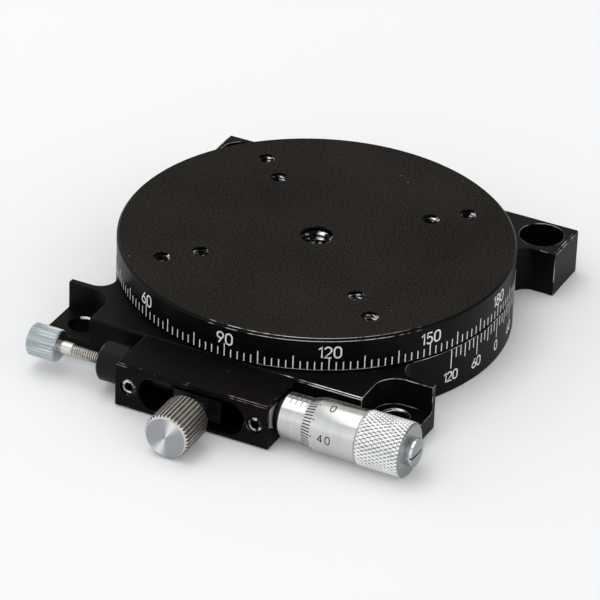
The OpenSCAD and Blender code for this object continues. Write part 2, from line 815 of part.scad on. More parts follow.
base_body();
bearing_outer_ring();
bearing_cover();
bearing_cover_screws();
bearing_balls();
ball_cage();
bearing_inner_ring();
hub_plate();
hub_screws();
rotary_table();
clamp_drum();
drum_screws();
tangent_arm();
anvil_pin();
clamp_shoe();
clamp_screw();
clamp_knob();
adjuster_block();
block_screws();
set_screws();
micrometer_sleeve();
sleeve_nut();
micrometer_spindle();
micrometer_thimble();
thimble_cap();
spring_housing();
spring_plunger();
plunger_spring();
lock_screw();
lock_knob();
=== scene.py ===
"""Looks of a manual rotation stage: black anodised table and base, and a satin chrome
micrometer head."""

import math

import bpy
import bmesh
from mathutils import Matrix, Vector


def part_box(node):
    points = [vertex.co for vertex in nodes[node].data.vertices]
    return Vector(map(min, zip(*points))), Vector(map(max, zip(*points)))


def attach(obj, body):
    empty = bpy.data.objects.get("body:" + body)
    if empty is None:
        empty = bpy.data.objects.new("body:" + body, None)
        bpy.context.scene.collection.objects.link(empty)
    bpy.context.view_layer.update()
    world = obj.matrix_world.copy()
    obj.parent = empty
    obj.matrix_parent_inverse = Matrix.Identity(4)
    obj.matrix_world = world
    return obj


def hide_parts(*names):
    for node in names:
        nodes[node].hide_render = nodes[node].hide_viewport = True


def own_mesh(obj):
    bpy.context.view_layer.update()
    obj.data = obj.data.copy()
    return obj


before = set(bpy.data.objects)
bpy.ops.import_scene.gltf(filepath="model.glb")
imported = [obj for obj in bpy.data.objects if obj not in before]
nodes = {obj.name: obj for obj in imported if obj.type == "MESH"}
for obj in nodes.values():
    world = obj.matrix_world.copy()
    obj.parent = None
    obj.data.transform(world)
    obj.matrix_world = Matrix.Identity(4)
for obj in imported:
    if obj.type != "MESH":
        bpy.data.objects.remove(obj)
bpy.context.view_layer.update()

# Sizes are in mm, as in the CAD; MM turns them into metres.
MM = 0.001
TABLE_R = 35.0
TABLE_Z0 = 8.8                       # underside of the table
BASE_TOP = 8.5
AXIS_Y, AXIS_Z = -40.4, 5.0          # the micrometer's axis, along X
CLAMP_Z = 4.2                        # the clamp knob's axis, along Y


# ---- Meshes ------------------------------------------------------------------

def link(obj):
    bpy.context.scene.collection.objects.link(obj)
    return obj


def finish_piece(name, mesh, body, materials, replaces=(), sharp=32):
    """Names a mesh (in metres), shades it and puts it on its body."""
    mesh.name = name
    piece = link(bpy.data.objects.new(name, mesh))
    for material in materials:
        mesh.materials.append(material)
    mesh.shade_smooth()
    mesh.set_sharp_from_angle(angle=math.radians(sharp))
    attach(piece, body)
    if replaces:
        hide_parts(*replaces)
    return piece


def as_mesh(bm):
    mesh = bpy.data.meshes.new("piece")
    bm.to_mesh(mesh)
    bm.free()
    return mesh


def mesh_from(bm):
    """The mesh, in metres and facing outward, of a shape drawn in mm."""
    bmesh.ops.recalc_face_normals(bm, faces=bm.faces)
    bmesh.ops.scale(bm, vec=(MM, MM, MM), verts=bm.verts)
    return as_mesh(bm)


def turned(profile, steps):
    """A solid of revolution about X, in mm. The profile's points are (x, radius)."""
    bm = bmesh.new()
    verts = [bm.verts.new((x, 0, radius)) for x, radius in profile]
    edges = [bm.edges.new(pair) for pair in zip(verts, verts[1:])]
    bmesh.ops.spin(bm, geom=verts + edges, cent=(0, 0, 0), axis=(1, 0, 0),
                   angle=2 * math.pi, steps=steps, use_merge=True, use_duplicate=False)
    bmesh.ops.remove_doubles(bm, verts=bm.verts, dist=0.0005)
    return bm


def helix_ridge(radius, base, height, pitch, start, end, axis, per_turn):
    """A closed ridge of triangular section wound around X or Z; height may be negative."""
    bm = bmesh.new()
    x_way, z_way = Vector((1, 0, 0)), Vector((0, 0, 1))
    along, side = (x_way, z_way) if axis == "x" else (z_way, x_way)
    corners = [(-base / 2, 0), (base / 2, 0), (0, height)]
    verts = [bm.verts.new(along * (start + a) + side * (radius + r)) for a, r in corners]
    face = bm.faces.new(verts)
    turns = (end - start) / pitch
    steps = max(3, int(turns * per_turn))
    bmesh.ops.spin(bm, geom=[face], cent=(0, 0, 0), axis=along,
                   dvec=along * ((end - start) / steps), angle=2 * math.pi * turns,
                   steps=steps, use_merge=False, use_duplicate=False)
    ends = [f for f in bm.faces if len(f.verts) == 3]
    if len(ends) < 2:
        bm.faces.new(verts)
    return bm


def merged_copy(node):
    """A welded, flat-faced copy of a CAD node's mesh."""
    bm = bmesh.new()
    bm.from_mesh(nodes[node].data)
    bmesh.ops.remove_doubles(bm, verts=bm.verts, dist=2e-6)
    bmesh.ops.dissolve_limit(bm, angle_limit=math.radians(0.4), use_dissolve_boundaries=False,
                             verts=bm.verts, edges=bm.edges)
    return bm


def evened(piece):
    """Shades the broad faces flat and lets only the edge breaks turn."""
    even = piece.modifiers.new("even shading", "WEIGHTED_NORMAL")
    even.mode = "FACE_AREA"
    even.keep_sharp = True
    return piece


def softened(name, node, body, materials, width, low_angle=40, keep=None,
             part_of=None, edge=None, shape=None):
    """A copy of a CAD node whose sharp edges are broken by a small bevel. shape changes the
    copy first, part_of gives a face's material, keep says which edges are broken, and edge
    gives the material of a break from its middle in mm and the material beside it."""
    bm = merged_copy(node)
    if shape:
        shape(bm)
    if part_of:
        for face in bm.faces:
            face.material_index = part_of(face)
    edges = [e for e in bm.edges if len(e.link_faces) == 2
             and e.calc_face_angle(0) > math.radians(low_angle)
             and (keep is None or keep(e))]
    made = bmesh.ops.bevel(bm, geom=edges, offset=width * MM, offset_type="OFFSET",
                           affect="EDGES", segments=2, profile=0.5, material=-1,
                           clamp_overlap=False, loop_slide=True)
    if edge:
        for face in made["faces"]:
            face.material_index = edge(face.calc_center_median() / MM, face.material_index)
    return evened(finish_piece(name, as_mesh(bm), body, materials, (node,)))


# ---- Engraved marks ----------------------------------------------------------

ARC_STEPS = 10


def arc(cx, cy, rx, ry, start, end):
    angles = [math.radians(start + (end - start) * i / ARC_STEPS) for i in range(ARC_STEPS + 1)]
    return [(cx + rx * math.cos(a), cy + ry * math.sin(a)) for a in angles]


# The strokes of each digit, in digit heights.
DIGITS = {
    "0": [arc(.28, .68, .28, .32, 0, 180) + arc(.28, .32, .28, .32, 180, 360) + [(.56, .68)]],
    "1": [[(.1, .78), (.34, 1), (.34, 0)]],
    "2": [arc(.28, .71, .27, .29, 165, -35) + [(0, 0), (.56, 0)]],
    "3": [arc(.26, .76, .25, .24, 150, -90) + arc(.26, .26, .29, .26, 90, -150)],
    "4": [[(.42, 0), (.42, 1)], [(.42, 1), (0, .3)], [(0, .3), (.58, .3)]],
    "5": [[(.52, 1), (.1, 1), (.06, .54)] + arc(.27, .32, .29, .32, 130, -145)],
    "6": [[(.42, 1), (.05, .42)] + arc(.28, .29, .28, .29, 150, 510)],
    "7": [[(0, 1), (.56, 1), (.2, 0)]],
    "8": [arc(.28, .26, .28, .26, 90, 450), arc(.28, .76, .23, .24, -90, 270)],
    "9": [[(.14, 0), (.51, .58)] + arc(.28, .71, .28, .29, -30, 330)],
}
DIGIT_W = 0.56
MARK_PROUD = 0.012                   # how far a mark stands out of its face


def number_strokes(text, height, x, y, step=0.78, narrow=0.56):
    """Strokes of a number, centred on x with its foot at y. step is the way from one
    digit to the next in digit heights, narrow the way after a 1."""
    steps = [narrow if digit == "1" else step for digit in text]
    left = -(sum(steps[:-1]) + DIGIT_W) / 2
    strokes = []
    for digit, way in zip(text, steps):
        strokes += [[(x + (left + u) * height, y + v * height) for u, v in stroke]
                    for stroke in DIGITS[digit]]
        left += way
    return strokes


def split_up(points, step):
    """The same path with no stretch longer than step."""
    path = [points[0]]
    for (x0, y0), (x1, y1) in zip(points, points[1:]):
        parts = max(1, math.ceil(math.hypot(x1 - x0, y1 - y0) / step))
        path += [(x0 + (x1 - x0) * i / parts, y0 + (y1 - y0) * i / parts)
                 for i in range(1, parts + 1)]
    return path


def marks(name, strokes, place, body, material, step=3.0):
    """Thin filled strokes laid on a curved face. strokes: (line width, points); place maps
    a flat point (right, up, out) to the row frame, in mm; step is the longest stretch."""
    curve = bpy.data.curves.new(name, "CURVE")
    curve.dimensions = "3D"
    curve.bevel_resolution = 1
    curve.use_fill_caps = True
    meshes = bmesh.new()
    for width in sorted({w for w, _ in strokes}):
        curve.splines.clear()
        curve.bevel_depth = width / 2
        for w, points in strokes:
            if w != width:
                continue
            points = split_up(points, step)
            spline = curve.splines.new("POLY")
            spline.points.add(len(points) - 1)
            for point, (u, v) in zip(spline.points, points):
                point.co = (u, v, 0, 1)
        obj = link(bpy.data.objects.new(name, curve))
        bpy.context.view_layer.update()
        depsgraph = bpy.context.evaluated_depsgraph_get()
        flat = bpy.data.meshes.new_from_object(obj.evaluated_get(depsgraph))
        part = bmesh.new()
        part.from_mesh(flat)
        for v in part.verts:
            v.co = place(v.co.x, v.co.y, v.co.z / (width / 2) * MARK_PROUD)
        part.to_mesh(flat)
        part.free()
        meshes.from_mesh(flat)
        bpy.data.objects.remove(obj)
        bpy.data.meshes.remove(flat)
    bpy.data.curves.remove(curve)
    return finish_piece(name, mesh_from(meshes), body, [material])


def on_rim(right, up, out):
    """Wraps a flat drawing around the table; right is the way the dial's numbers rise."""
    turn = right / TABLE_R
    radius = TABLE_R + out
    return Vector((radius * math.cos(turn), radius * math.sin(turn), up))


def on_barrel(radius_at, nominal):
    """Wraps a drawing around the micrometer's axis: right runs along X, up runs round from
    the front over the top, in mm at the nominal radius."""
    def place(right, up, out):
        radius = radius_at(right) + out
        turn = up / nominal
        return Vector((right, AXIS_Y - radius * math.cos(turn), AXIS_Z + radius * math.sin(turn)))
    return place


# ---- Materials ---------------------------------------------------------------

def new_group(name, inputs, outputs):
    group = bpy.data.node_groups.new(name, "ShaderNodeTree")
    for label, kind, value in inputs:
        socket = group.interface.new_socket(name=label, in_out="INPUT", socket_type=kind)
        if value is not None:
            socket.default_value = value
    for label, kind in outputs:
        group.interface.new_socket(name=label, in_out="OUTPUT", socket_type=kind)
    return group, group.nodes.new("NodeGroupInput"), group.nodes.new("NodeGroupOutput")


def math_node(tree, operation, a, b=None, clamp=False):
    node = tree.nodes.new("ShaderNodeMath")
    node.operation = operation
    node.use_clamp = clamp
    for socket, value in zip(node.inputs, (a, b)):
        if value is None:
            continue
        if isinstance(value, bpy.types.NodeSocket):
            tree.links.new(value, socket)
        else:
            socket.default_value = value
    return node.outputs[0]


def noise_node(tree, vector, scale, detail=3.0):
    node = tree.nodes.new("ShaderNodeTexNoise")
    node.inputs["Scale"].default_value = scale
    node.inputs["Detail"].default_value = detail
    node.inputs["Roughness"].default_value = 0.55
    tree.links.new(vector, node.inputs["Vector"])
    return node.outputs["Fac"]


GRAIN_SHARE = 0.82                   # of the tone; slow patches give the rest
SPECK_COLOUR = (0.30, 0.29, 0.27, 1)
EDGE_BLEND = 0.16                    # how softly an edge's bare metal turns black


def make_anodise_group():
    """Fine blasted grain with slow patches and a few bright specks."""
    group, given, out = new_group(
        "anodised grain",
        [("Vector", "NodeSocketVector", None), ("Grain", "NodeSocketFloat", 5000.0),
         ("Patch", "NodeSocketFloat", 60.0), ("Specks", "NodeSocketFloat", 0.0)],
        [("Tone", "NodeSocketFloat"), ("Speck", "NodeSocketFloat"),
         ("Height", "NodeSocketFloat")])
    grain = group.nodes.new("ShaderNodeTexNoise")
    grain.inputs["Detail"].default_value = 2.0
    group.links.new(given.outputs["Vector"], grain.inputs["Vector"])
    group.links.new(given.outputs["Grain"], grain.inputs["Scale"])
    patch = group.nodes.new("ShaderNodeTexNoise")
    patch.inputs["Detail"].default_value = 4.0
    group.links.new(given.outputs["Vector"], patch.inputs["Vector"])
    group.links.new(given.outputs["Patch"], patch.inputs["Scale"])
    tone = math_node(group, "MULTIPLY", patch.outputs["Fac"], 1 - GRAIN_SHARE)
    tone = math_node(group, "ADD", tone,
                     math_node(group, "MULTIPLY", grain.outputs["Fac"], GRAIN_SHARE))
    cells = group.nodes.new("ShaderNodeTexVoronoi")
    cells.inputs["Scale"].default_value = 260.0
    group.links.new(given.outputs["Vector"], cells.inputs["Vector"])
    near = math_node(group, "LESS_THAN", cells.outputs["Distance"], 0.045)
    rare = math_node(group, "GREATER_THAN", patch.outputs["Fac"], 0.56)
    speck = math_node(group, "MULTIPLY", math_node(group, "MULTIPLY", near, rare),
                      given.outputs["Specks"])
    group.links.new(tone, out.inputs["Tone"])
    group.links.new(speck, out.inputs["Speck"])
    group.links.new(grain.outputs["Fac"], out.inputs["Height"])
    return group


def make_streak_group():
    """Tool marks: noise drawn out around an axis or along it by the Stretch vector."""
    group, given, out = new_group(
        "tool marks",
        [("Vector", "NodeSocketVector", None), ("Stretch", "NodeSocketVector", (1, 1, 1)),
         ("Scale", "NodeSocketFloat", 2000.0)],
        [("Tone", "NodeSocketFloat"), ("Height", "NodeSocketFloat")])
    scale = group.nodes.new("ShaderNodeVectorMath")
    scale.operation = "MULTIPLY"
    group.links.new(given.outputs["Vector"], scale.inputs[0])
    group.links.new(given.outputs["Stretch"], scale.inputs[1])
    fine = group.nodes.new("ShaderNodeTexNoise")
    fine.inputs["Detail"].default_value = 3.0
    group.links.new(scale.outputs["Vector"], fine.inputs["Vector"])
    group.links.new(given.outputs["Scale"], fine.inputs["Scale"])
    slow = noise_node(group, scale.outputs["Vector"], 400.0, 2.0)
    tone = math_node(group, "ADD", math_node(group, "MULTIPLY", fine.outputs["Fac"], 0.55),
                     math_node(group, "MULTIPLY", slow, 0.45))
    group.links.new(tone, out.inputs["Tone"])
    group.links.new(fine.outputs["Fac"], out.inputs["Height"])
    return group


ANODISE = make_anodise_group()
STREAKS = make_streak_group()


class Finish:
    """A material with a Principled shader, and short ways to feed it."""

    def __init__(self, name, metallic=0.0, specular=0.5):
        self.material = bpy.data.materials.new(name)
        self.material.use_nodes = True
        self.tree = self.material.node_tree
        self.shader = self.tree.nodes["Principled BSDF"]
        self.shader.inputs["Metallic"].default_value = metallic
        self.shader.inputs["Specular IOR Level"].default_value = specular
        coords = self.tree.nodes.new("ShaderNodeTexCoord")
        self.vector = coords.outputs["Object"]

    def centred(self, centre_mm):
        """Object coordinates measured from a point of the part."""
        mapping = self.tree.nodes.new("ShaderNodeMapping")
        mapping.inputs["Location"].default_value = [-c * MM for c in centre_mm]
        self.tree.links.new(self.vector, mapping.inputs["Vector"])
        self.vector = mapping.outputs["Vector"]
        return self

    def group(self, group, **values):
        node = self.tree.nodes.new("ShaderNodeGroup")
        node.node_tree = group
        self.tree.links.new(self.vector, node.inputs["Vector"])
        for label, value in values.items():
            node.inputs[label].default_value = value
        return node

    def ramp(self, factor, low, high, start, end):
        node = self.tree.nodes.new("ShaderNodeValToRGB")
        node.color_ramp.elements[0].position = start
        node.color_ramp.elements[1].position = end
        node.color_ramp.elements[0].color = (*low, 1)
        node.color_ramp.elements[1].color = (*high, 1)
        self.tree.links.new(factor, node.inputs["Fac"])
        return node.outputs["Color"]

    def colour(self, factor, low, high, start=0.3, end=0.7):
        self.tree.links.new(self.ramp(factor, low, high, start, end),
                            self.shader.inputs["Base Color"])
        return self

    def rough(self, factor, low, high):
        spread = math_node(self.tree, "MULTIPLY", factor, high - low)
        total = math_node(self.tree, "ADD", spread, low, clamp=True)
        self.tree.links.new(total, self.shader.inputs["Roughness"])
        return self

    def bump(self, height, strength, distance):
        node = self.tree.nodes.new("ShaderNodeBump")
        node.inputs["Strength"].default_value = strength
        node.inputs["Distance"].default_value = distance * MM
        self.tree.links.new(height, node.inputs["Height"])
        self.tree.links.new(node.outputs["Normal"], self.shader.inputs["Normal"])
        return self


def anodised(name, dark, light, rough, specular, grain=5000.0, specks=0.0, bump=0.15,
             stretch=None, spread=(0.3, 0.7)):
    """Anodised aluminium. spread is the part of the grain's tone that runs from dark to
    light; stretch, where given, draws tool marks out under the grain."""
    finish = Finish(name, specular=specular)
    grain_node = finish.group(ANODISE, Grain=grain, Specks=specks)
    tone = grain_node.outputs["Tone"]
    mix = finish.tree.nodes.new("ShaderNodeMix")
    mix.data_type = "RGBA"
    finish.tree.links.new(finish.ramp(tone, dark, light, *spread), mix.inputs["A"])
    mix.inputs["B"].default_value = SPECK_COLOUR
    finish.tree.links.new(grain_node.outputs["Speck"], mix.inputs["Factor"])
    finish.tree.links.new(mix.outputs["Result"], finish.shader.inputs["Base Color"])
    finish.rough(tone, *rough)
    height = grain_node.outputs["Height"]
    if stretch:
        height = finish.group(STREAKS, Stretch=stretch, Scale=900.0).outputs["Height"]
    finish.bump(height, bump, 0.02)
    return finish.material


def metal(name, dark, light, rough, stretch=(1, 1, 1), centre=(0, 0, 0), bump=0.1):
    """Bare metal with tool marks, drawn out where stretch is small, about a centre in mm."""
    finish = Finish(name, metallic=1.0).centred(centre)
    streak = finish.group(STREAKS, Stretch=stretch, Scale=1500.0)
    finish.colour(streak.outputs["Tone"], dark, light)
    finish.rough(streak.outputs["Tone"], *rough)
    finish.bump(streak.outputs["Height"], bump, 0.01)
    return finish.material


def paint(name, dark, light):
    """Paint rubbed into an engraved mark."""
    finish = Finish(name, specular=0.3)
    grain_node = finish.group(ANODISE, Grain=3000.0)
    finish.colour(grain_node.outputs["Tone"], dark, light)
    finish.rough(grain_node.outputs["Tone"], 0.5, 0.7)
    return finish.material


HIGHLIGHT_FAN_TURN, HIGHLIGHT_FAN_SHARPNESS = -2.3, 9.0  # where the painted highlight fans lie, in radians, and how narrow


def turned_face(name, dark, bright, centre):
    """A faced end about Y: two pairs of light and dark fans painted into its colour, a painted
    highlight and painted shade of a turned face's sheen.
    """
    finish = Finish(name, metallic=1.0).centred(centre)
    split = finish.tree.nodes.new("ShaderNodeSeparateXYZ")
    finish.tree.links.new(finish.vector, split.inputs["Vector"])
    angle = math_node(finish.tree, "ARCTAN2", split.outputs["Z"], split.outputs["X"])
    twice = math_node(finish.tree, "MULTIPLY", angle, 2.0)
    turn = math_node(finish.tree, "ADD", twice, HIGHLIGHT_FAN_TURN)
    highlight_fan = math_node(finish.tree, "MULTIPLY", math_node(finish.tree, "COSINE", turn), 0.5)
    highlight_fan = math_node(finish.tree, "ADD", highlight_fan, 0.5)
    highlight_fan = math_node(finish.tree, "POWER", highlight_fan, HIGHLIGHT_FAN_SHARPNESS)
    finish.colour(highlight_fan, dark, bright, 0.0, 1.0)
    grain = noise_node(finish.tree, finish.vector, 2500.0, 2.0)
    finish.rough(grain, 0.26, 0.36)
    rings = finish.tree.nodes.new("ShaderNodeTexWave")
    rings.wave_type = "RINGS"
    rings.rings_direction = "Y"
    rings.inputs["Scale"].default_value = 900.0
    finish.tree.links.new(finish.vector, rings.inputs["Vector"])
    finish.bump(rings.outputs["Fac"], 0.12, 0.01)
    return finish.material


def rubbed_edge(name, dark, bright, scale, gap, highlight_centre=None, reach=30.0):
    """A broken edge: bare bright metal where it is rubbed, black between. scale is how
    fine the patches are and gap how much stays black; a centre, where given, is the place,
    in mm, of a painted highlight where the edge is brightest, and reach how far from there it
    runs out."""
    finish = Finish(name, metallic=1.0)
    patch = noise_node(finish.tree, finish.vector, scale, 2.0)
    # Painted highlight: the bare patches fade out with distance from the centre.
    if highlight_centre:
        mapping = finish.tree.nodes.new("ShaderNodeMapping")
        mapping.vector_type = "TEXTURE"
        mapping.inputs["Location"].default_value = [c * MM for c in highlight_centre]
        mapping.inputs["Scale"].default_value = [reach * MM] * 3
        finish.tree.links.new(finish.vector, mapping.inputs["Vector"])
        near = finish.tree.nodes.new("ShaderNodeTexGradient")
        near.gradient_type = "SPHERICAL"
        finish.tree.links.new(mapping.outputs["Vector"], near.inputs["Vector"])
        patch = math_node(finish.tree, "MULTIPLY", patch,
                          math_node(finish.tree, "POWER", near.outputs["Fac"], 0.4))
    finish.colour(patch, dark, bright, gap, gap + EDGE_BLEND)
    finish.rough(patch, 0.42, 0.18)
    return finish.material


MICROMETER = (0, AXIS_Y, AXIS_Z)
TABLE_TOP = anodised("table top anodise", (0.0030, 0.0022, 0.0017), (0.0235, 0.0200, 0.0168),
                     (0.50, 0.62), 0.05, specks=0.4, grain=3000.0, bump=0.10, spread=(0.40, 0.60))
TABLE_RIM = anodised("table rim anodise", (0.0012, 0.0011, 0.0012), (0.0026, 0.0024, 0.0024),
                     (0.30, 0.42), 0.07, stretch=(0.02, 0.02, 1.0))
BASE_BLACK = anodised("base anodise", (0.0016, 0.0014, 0.0014), (0.0040, 0.0035, 0.0032),
                      (0.34, 0.50), 0.075, specks=0.4)
BLOCK_BLACK = anodised("block anodise", (0.0022, 0.0016, 0.0014), (0.0040, 0.0030, 0.0026),
                       (0.40, 0.55), 0.06, specks=0.4)
HOUSING_BLACK = anodised("housing anodise", (0.0030, 0.0026, 0.0024), (0.0060, 0.0052, 0.0047),
                         (0.34, 0.48), 0.14, stretch=(1.0, 0.05, 0.05))
# The table's outer edge: worn bare patches, brightest at the front right as a painted highlight.
TABLE_EDGE_AND_GLINT = rubbed_edge("table edge with painted highlight", (0.012, 0.012, 0.012), (0.50, 0.48, 0.45), 700.0, 0.25,
                         (15, -31.7, 14), 23.0)
# Bright metal for the painted glint line along the table rim's lower edge.
RIM_GLINT_PAINT = rubbed_edge("painted table rim glint", (0.012, 0.012, 0.012), (0.86, 0.85, 0.82), 300.0, 0.28)
BASE_EDGE = rubbed_edge("base edge", (0.012, 0.012, 0.012), (0.55, 0.54, 0.53), 420.0, 0.43)
# Worn front edges of the base, brighter than the rest and brightest at the front right: wear with
# a painted highlight.
BASE_FRONT_EDGE_AND_GLINT = rubbed_edge("base front edge with painted highlight", (0.012, 0.012, 0.012), (0.60, 0.59, 0.57),
                              420.0, 0.28, (24, -31, 8.5), 20.0)
# Bright metal for the painted glint on the far rims of the two front screw holes.
SCREW_RIM_GLINT = metal("painted screw rim glint", (0.40, 0.40, 0.39), (0.66, 0.66, 0.64), (0.16, 0.26))
BLOCK_EDGE = rubbed_edge("block edge", (0.006, 0.005, 0.005), (0.26, 0.22, 0.20), 420.0, 0.54)
HOLE_DARK = anodised("anodised bore", (0.0010, 0.0010, 0.0010), (0.0020, 0.0018, 0.0018),
                     (0.28, 0.40), 0.10)
THREAD = rubbed_edge("cut thread", (0.012, 0.011, 0.012), (0.62, 0.58, 0.58), 900.0, 0.50)
SET_SCREW_STEEL = rubbed_edge("set screw steel", (0.02, 0.02, 0.021), (0.66, 0.66, 0.67),
                              1100.0, 0.47)
# Darker steel for the clamp knob's groove bottoms: painted shade.
GROOVE_SHADE = metal("painted shade in groove bottoms", (0.10, 0.09, 0.08), (0.28, 0.26, 0.23),
                    (0.30, 0.45), stretch=(0.3, 1.0, 0.3))
ROD_STEEL = metal("bright rod", (0.52, 0.50, 0.46), (0.70, 0.68, 0.64), (0.16, 0.26),
                  stretch=(1.0, 0.1, 0.1), centre=MICROMETER)
WHITE_PAINT = paint("white engraving paint", (0.66, 0.67, 0.66), (0.84, 0.85, 0.83))
BLACK_PAINT = paint("black engraving paint", (0.012, 0.011, 0.010), (0.030, 0.028, 0.025))
SATIN_CHROME = metal("satin chrome", (0.52, 0.52, 0.51), (0.63, 0.63, 0.62), (0.20, 0.28),
                     stretch=(1.0, 0.06, 0.06), centre=MICROMETER)
KNURL_CHROME = metal("knurled satin chrome", (0.74, 0.74, 0.73), (0.90, 0.90, 0.88),
                     (0.22, 0.32), centre=MICROMETER)
# Darker chrome for the knurling's deep faces: painted shade.
KNURL_PIT_SHADE = metal("painted shade in knurling pits", (0.18, 0.19, 0.20), (0.34, 0.35, 0.36), (0.30, 0.42),
                  centre=MICROMETER)
# Darker chrome for the end faces turned to +X: painted shade.
SHADED_END_FACE = metal("turned end face in painted shade", (0.24, 0.26, 0.26), (0.36, 0.38, 0.38), (0.28, 0.38),
                 centre=MICROMETER)
# Bright metal painted on the lit quarter of the block's right end: painted light.
LIT_END_FACE = metal("painted lit end face", (0.74, 0.74, 0.72), (0.92, 0.92, 0.90), (0.46, 0.60),
                   centre=MICROMETER)
CAP_CHROME = metal("polished cap", (0.62, 0.62, 0.62), (0.70, 0.70, 0.70), (0.12, 0.20),
                   centre=MICROMETER)
KNOB_STEEL = metal("clamp knob steel", (0.46, 0.45, 0.42), (0.66, 0.65, 0.62), (0.24, 0.36),
                   stretch=(0.06, 1.0, 0.06), centre=(0, 0, CLAMP_Z))
# The knob's turned face, with painted highlight fans in its colour.
KNOB_FACE_PAINTED_FANS = turned_face("turned knob face with painted highlight fans", (0.33, 0.34, 0.36), (0.80, 0.80, 0.77),
                        (0, 0, CLAMP_Z))
LOCK_STEEL = metal("nickel-plated steel", (0.26, 0.29, 0.30), (0.56, 0.60, 0.61),
                   (0.22, 0.34), stretch=(0.05, 1.0, 1.0), centre=MICROMETER, bump=0.2)
SCREW_STEEL = metal("bright steel", (0.45, 0.45, 0.45), (0.60, 0.60, 0.60), (0.22, 0.34))
GROUND_STEEL = metal("ground steel", (0.52, 0.52, 0.53), (0.66, 0.66, 0.66), (0.14, 0.24),
                     centre=MICROMETER)
DARK_STEEL = metal("blackened steel", (0.010, 0.010, 0.011), (0.026, 0.026, 0.026),
                   (0.34, 0.50))
# Near-black steel for the set screws' hex sockets: painted shade.
SOCKET_SHADE = metal("painted shade in hex socket", (0.004, 0.004, 0.004), (0.012, 0.012, 0.012),
                     (0.40, 0.55))
BRASS = metal("satin brass", (0.46, 0.32, 0.12), (0.62, 0.45, 0.20), (0.26, 0.38))

CAD_FINISHES = {
    "bearing_outer_ring": GROUND_STEEL, "bearing_inner_ring": GROUND_STEEL,
    "bearing_balls": GROUND_STEEL, "ball_cage": BRASS, "bearing_cover": DARK_STEEL,
    "bearing_cover_screws": SCREW_STEEL, "hub_plate": DARK_STEEL, "hub_screws": SCREW_STEEL,
    "clamp_drum": SCREW_STEEL, "drum_screws": SCREW_STEEL, "tangent_arm": DARK_STEEL,
    "anvil_pin": DARK_STEEL, "clamp_shoe": BRASS, "clamp_screw": SCREW_STEEL,
    "clamp_knob": KNOB_STEEL, "block_screws": SCREW_STEEL, "set_screws": SCREW_STEEL,
    "micrometer_sleeve": SATIN_CHROME, "sleeve_nut": SCREW_STEEL,
    "micrometer_spindle": DARK_STEEL, "micrometer_thimble": SATIN_CHROME,
    "thimble_cap": CAP_CHROME, "spring_housing": HOUSING_BLACK,
    "spring_plunger": DARK_STEEL, "plunger_spring": SCREW_STEEL,
    "lock_screw": LOCK_STEEL, "lock_knob": LOCK_STEEL, "rotary_table": TABLE_TOP,
    "base_body": BASE_BLACK, "adjuster_block": BLOCK_BLACK,
}
for node, material in CAD_FINISHES.items():
    mesh = nodes[node].data
    if not mesh.materials:
        mesh.materials.append(material)
    for i in range(len(mesh.materials)):
        mesh.materials[i] = material

# ---- Table -------------------------------------------------------------------

# Each hole: place, radius of the thread's core and crest, pitch, floor.
CENTRE_HOLE = ((0, 0), 2.5, 3.0, 1.0, TABLE_Z0)
SMALL_HOLES = [((sx * d, sy * d), 1.25, 1.5, 0.5, 9.8)
               for sx in (1, -1) for sy in (1, -1) for d in (15, 20)]
HOLES = [CENTRE_HOLE] + SMALL_HOLES
THREAD_TOP = 14.85                   # where the threads meet their countersinks
HOLES_R, RIM_R = 30.0, 34.5          # all holes lie inside the first, the rim outside both


def open_threads(bm):
    """Widens each threaded bore of the table to the thread's outer size."""
    for place, core, crest, _, floor in HOLES:
        centre = Vector(place) * MM
        for v in bm.verts:
            out = v.co.xy - centre
            if v.co.z > (floor - 0.01) * MM and abs(out.length - core * MM) < 0.03 * MM:
                v.co.xy = centre + out.normalized() * crest * MM
                if v.co.z > 14.0 * MM:
                    v.co.z = THREAD_TOP * MM


def table_face(face):
    """The rim, the insides of the holes and the rest."""
    middle = face.calc_center_median() / MM
    if middle.xy.length > RIM_R:
        return 1
    inside = abs(face.normal.z) < 0.6 or middle.z < 14.5
    return 2 if inside and middle.xy.length < HOLES_R else 0


softened("table_plate", "rotary_table", "table",
         [TABLE_TOP, TABLE_RIM, HOLE_DARK, TABLE_EDGE_AND_GLINT], 0.06, low_angle=25,
         edge=lambda c, own: 3 if c.xy.length > HOLES_R else own,
         keep=lambda e: all(v.co.z > 14.8 * MM or v.co.xy.length > HOLES_R * MM
                            for v in e.verts),
         part_of=table_face, shape=open_threads)

for number, ((x, y), core, crest, pitch, floor) in enumerate(HOLES):
    thread = helix_ridge(crest + 0.02, pitch * 0.86, core - crest - 0.02, pitch,
                         floor + pitch / 2, THREAD_TOP + 0.05 - pitch / 2, "z", 28)
    bmesh.ops.translate(thread, vec=(x, y, 0), verts=thread.verts)
    finish_piece("table_thread_%d" % number, mesh_from(thread), "table",
                 [THREAD], sharp=25)


def along_rim(degrees):
    return math.radians(degrees) * TABLE_R


dial = []                            # two-degree marks, numbers every thirty
for degree in range(0, 360, 2):
    right = along_rim(degree - 180)
    reach = 2.7 if degree % 10 == 0 else 1.75
    dial.append((0.2, [(right, TABLE_Z0 + 0.2), (right, TABLE_Z0 + reach)]))
for degree in range(0, 360, 30):
    right = along_rim(degree - 180)
    dial += [(0.3, s) for s in number_strokes(str(degree), 2.1, right, TABLE_Z0 + 2.6)]
marks("dial_marks", dial, on_rim, "table", WHITE_PAINT)
# At the front right a thin bright strip on the rim's lower edge is a painted highlight, a glint
# line.
glint_line = [(along_rim(degree), TABLE_Z0 + 0.13) for degree in (-80, -44)]
marks("painted_rim_glint", [(0.13, glint_line)], on_rim, "table", RIM_GLINT_PAINT)

# ---- Base --------------------------------------------------------------------

